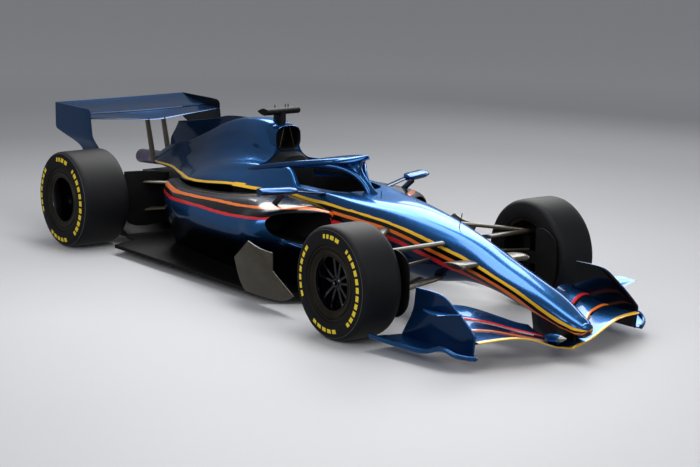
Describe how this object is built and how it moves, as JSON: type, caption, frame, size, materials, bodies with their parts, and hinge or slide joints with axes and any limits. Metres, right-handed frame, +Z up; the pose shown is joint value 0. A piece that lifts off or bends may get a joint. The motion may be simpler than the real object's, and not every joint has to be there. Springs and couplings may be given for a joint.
{
  "type": "open wheel racing car",
  "caption": "Single-seat open wheel racing car with a hollow cockpit, halo, wings, free-turning wheels and steered front wheels.",
  "frame": {"origin": "on the ground, under the middle of the car", "axes": "+X to the nose, +Y to the driver's left, +Z up"},
  "size_m": [5.415, 1.9, 1.18],
  "materials": {
    "blue_paint": "metallic clear-coated paint on carbon",
    "black_carbon": "satin carbon fibre",
    "satin_carbon": "olive-brown satin carbon fibre",
    "plank_wood": "bare",
    "padding": "moulded padding",
    "tyre_rubber": "smooth tread",
    "rim_metal": "satin",
    "bare_metal": "machined",
    "titanium": "heat-tinted",
    "lamp_red": "clear lens"
  },
  "bodies": {
    "chassis": {"air_intake": "blue_paint", "camera_housing": "black_carbon", "cockpit_surround": "padding", "crash_structure": "black_carbon", "diffuser": "black_carbon", "engine_block": "bare_metal", "engine_cover": "blue_paint", "exhaust": "titanium", "floor_panel": "black_carbon", "front_suspension_left": "satin_carbon", "front_suspension_right": "satin_carbon", "front_wing_endplate_left": "blue_paint", "front_wing_endplate_right": "blue_paint", "front_wing_flaps_left": "blue_paint", "front_wing_flaps_right": "blue_paint", "front_wing_main_plane": "blue_paint", "front_wing_pylons": "black_carbon", "gearbox_block": "bare_metal", "halo": "blue_paint", "headrest": "padding", "nose_cone": "blue_paint", "nose_stubs": "satin_carbon", "plank": "plank_wood", "rain_light": "lamp_red", "rear_suspension_left": "satin_carbon", "rear_suspension_right": "satin_carbon", "rear_upright_left": "black_carbon", "rear_upright_right": "black_carbon", "rear_wing_endplate_left": "blue_paint", "rear_wing_endplate_right": "blue_paint", "rear_wing_flap": "blue_paint", "rear_wing_main_plane": "blue_paint", "rear_wing_pylons": "satin_carbon", "seat": "black_carbon", "sidepod_left": "blue_paint", "sidepod_right": "blue_paint", "survival_cell": "blue_paint", "wake_board_left": "satin_carbon", "wake_board_right": "satin_carbon", "wing_mirror_left": "blue_paint", "wing_mirror_right": "blue_paint"},
    "front_wheel_left": {"front_tyre_left": "tyre_rubber", "front_rim_left": "rim_metal"},
    "front_wheel_right": {"front_tyre_right": "tyre_rubber", "front_rim_right": "rim_metal"},
    "rear_wheel_left": {"rear_tyre_left": "tyre_rubber", "rear_rim_left": "rim_metal", "driveshaft_left": "bare_metal"},
    "rear_wheel_right": {"rear_tyre_right": "tyre_rubber", "rear_rim_right": "rim_metal", "driveshaft_right": "bare_metal"},
    "knuckle_left": {"front_upright_left": "black_carbon"},
    "knuckle_right": {"front_upright_right": "black_carbon"},
    "steering": {"steering_wheel": "black_carbon", "steering_column": "bare_metal"}
  },
  "joints": [
    {"name": "steering_wheel_turn", "type": "hinge", "parent": "chassis", "child": "steering", "pos_m": [0.5367, 0, 0.545], "axis": [-0.9511, 0, 0.309], "range_deg": [-150, 150]},
    {"name": "steer_left", "type": "hinge", "parent": "chassis", "child": "knuckle_left", "pos_m": [1.4275, 0.7, 0.357], "axis": [0, 0, 1], "range_deg": [-18, 18]},
    {"name": "front_wheel_left_spin", "type": "hinge", "parent": "knuckle_left", "child": "front_wheel_left", "pos_m": [1.4275, 0.795, 0.357], "axis": [0, 1, 0], "continuous": true},
    {"name": "rear_wheel_left_spin", "type": "hinge", "parent": "chassis", "child": "rear_wheel_left", "pos_m": [-1.9725, 0.75, 0.36], "axis": [0, 1, 0], "continuous": true},
    {"name": "steer_right", "type": "hinge", "parent": "chassis", "child": "knuckle_right", "pos_m": [1.4275, -0.7, 0.357], "axis": [0, 0, 1], "range_deg": [-18, 18]},
    {"name": "front_wheel_right_spin", "type": "hinge", "parent": "knuckle_right", "child": "front_wheel_right", "pos_m": [1.4275, -0.795, 0.357], "axis": [0, 1, 0], "continuous": true},
    {"name": "rear_wheel_right_spin", "type": "hinge", "parent": "chassis", "child": "rear_wheel_right", "pos_m": [-1.9725, -0.75, 0.36], "axis": [0, 1, 0], "continuous": true}
  ],
  "couplings": [
    {"joint": "steer_left", "follows": "steering_wheel_turn", "ratio": 0.12},
    {"joint": "steer_right", "follows": "steering_wheel_turn", "ratio": 0.12}
  ]
}
